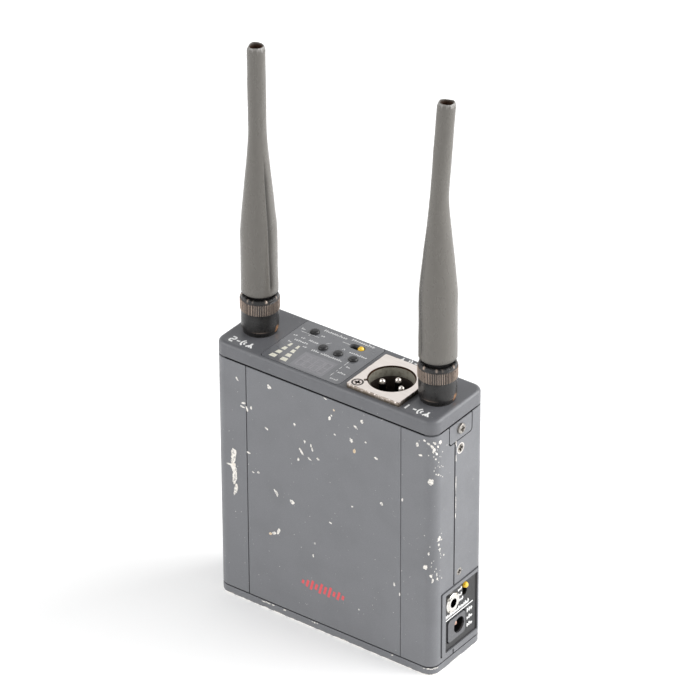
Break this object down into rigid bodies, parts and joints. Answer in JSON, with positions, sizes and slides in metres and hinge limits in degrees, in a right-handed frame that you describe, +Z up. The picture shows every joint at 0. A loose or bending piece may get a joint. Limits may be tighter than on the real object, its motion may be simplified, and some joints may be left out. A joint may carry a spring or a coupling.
{
  "type": "portable wireless microphone receiver",
  "caption": "Slim upright metal receiver box with bayonet-mounted rubber whip antennas, a top control panel, a recessed audio output socket and a side panel with headphone and power inlets.",
  "frame": {"origin": "middle of the underside of the base cap, which is the face that the receiver stands on", "axes": "+Z up along the antennas; +X along the wide side towards the side with the jack panel; the wide front face looks along -Y"},
  "size_m": [0.0992, 0.0314, 0.2261],
  "materials": {
    "case_paint": "satin dark grey paint, chipped to pale primer at the edges",
    "screw_steel": "worn plated steel",
    "sheet_steel": "tinned sheet",
    "circuit_board": "solder resist",
    "black_plastic": "moulded",
    "lead_jacket": "smooth jacket",
    "panel_gloss": "gloss dark grey",
    "display_window": "smoked translucent",
    "cream_diffuser": "cream translucent",
    "button_black": "satin black",
    "knob_yellow": "moulded yellow",
    "nickel_plate": "satin nickel plate",
    "silver_contact": "silver plate",
    "grey_plastic": "moulded grey",
    "connector_brass": "machined",
    "white_insulator": "white fluoropolymer",
    "ring_black": "black finish worn to brass on the knurl",
    "antenna_rubber": "satin olive grey",
    "label_black": "black with pale marks"
  },
  "bodies": {
    "case": {"base_cap": "case_paint", "front_shell": "case_paint", "rear_shell": "case_paint", "front_plate": "case_paint", "top_cap": "case_paint", "side_lugs": "case_paint", "base_cap_screws": "screw_steel", "lug_screws": "screw_steel", "upper_side_screws": "screw_steel", "lower_side_screws": "screw_steel", "board_screws": "screw_steel", "xlr_screws": "screw_steel", "chassis": "sheet_steel", "board_standoffs": "sheet_steel", "tuner_can_left": "sheet_steel", "tuner_can_right": "sheet_steel", "power_converter": "sheet_steel", "output_transformer": "sheet_steel", "main_board": "circuit_board", "display_board": "circuit_board", "io_board": "circuit_board", "board_header": "black_plastic", "display_module": "black_plastic", "meter_block": "black_plastic", "power_switch_body": "black_plastic", "side_switch_body": "black_plastic", "xlr_insert": "black_plastic", "monitor_jack": "black_plastic", "tact_switches": "black_plastic", "coax_leads": "lead_jacket", "control_panel": "panel_gloss", "display_window": "display_window", "meter_diffusers": "cream_diffuser", "xlr_shell": "nickel_plate", "xlr_pins": "silver_contact", "monitor_nut": "nickel_plate", "dc_pin": "silver_contact", "dc_jack": "grey_plastic", "antenna_jacks": "connector_brass", "jack_contacts": "connector_brass", "jack_nuts": "connector_brass", "jack_insulators": "white_insulator", "side_panel_frame": "case_paint", "side_label": "label_black"},
    "memory_button": {"memory_button": "button_black"},
    "down_button": {"down_button": "button_black"},
    "up_button": {"up_button": "button_black"},
    "set_button": {"set_button": "button_black"},
    "power_knob": {"power_switch_knob": "knob_yellow"},
    "side_knob": {"side_switch_knob": "knob_yellow"},
    "ring_left": {"coupling_ring_left": "ring_black"},
    "ring_right": {"coupling_ring_right": "ring_black"},
    "antenna_left": {"antenna_plug_left": "ring_black", "plug_insulator_left": "white_insulator", "antenna_rod_left": "connector_brass", "antenna_sleeve_left": "antenna_rubber"},
    "antenna_right": {"antenna_plug_right": "ring_black", "plug_insulator_right": "white_insulator", "antenna_rod_right": "connector_brass", "antenna_sleeve_right": "antenna_rubber"}
  },
  "joints": [
    {"name": "memory_button_press", "type": "slide", "parent": "case", "child": "memory_button", "axis": [0, 0, -1], "range_m": [0, 0.0004], "stiffness_N_per_m": 400},
    {"name": "down_button_press", "type": "slide", "parent": "case", "child": "down_button", "axis": [0, 0, -1], "range_m": [0, 0.0004], "stiffness_N_per_m": 400},
    {"name": "up_button_press", "type": "slide", "parent": "case", "child": "up_button", "axis": [0, 0, -1], "range_m": [0, 0.0004], "stiffness_N_per_m": 400},
    {"name": "set_button_press", "type": "slide", "parent": "case", "child": "set_button", "axis": [0, 0, -1], "range_m": [0, 0.0004], "stiffness_N_per_m": 400},
    {"name": "power_switch_slide", "type": "slide", "parent": "case", "child": "power_knob", "axis": [-1, 0, 0], "range_m": [0, 0.0033]},
    {"name": "side_switch_slide", "type": "slide", "parent": "case", "child": "side_knob", "axis": [0, 0, -1], "range_m": [0, 0.003]},
    {"name": "ring_left_turn", "type": "hinge", "parent": "case", "child": "ring_left", "pos_m": [-0.0391, -0.0004, 0.1086], "axis": [0, 0, 1], "range_deg": [0, 90]},
    {"name": "antenna_left_swivel", "type": "hinge", "parent": "case", "child": "antenna_left", "pos_m": [-0.0391, -0.0004, 0.1086], "axis": [0, 0, 1], "continuous": true},
    {"name": "ring_right_turn", "type": "hinge", "parent": "case", "child": "ring_right", "pos_m": [0.0391, -0.0004, 0.1086], "axis": [0, 0, 1], "range_deg": [0, 90]},
    {"name": "antenna_right_swivel", "type": "hinge", "parent": "case", "child": "antenna_right", "pos_m": [0.0391, -0.0004, 0.1086], "axis": [0, 0, 1], "continuous": true}
  ]
}
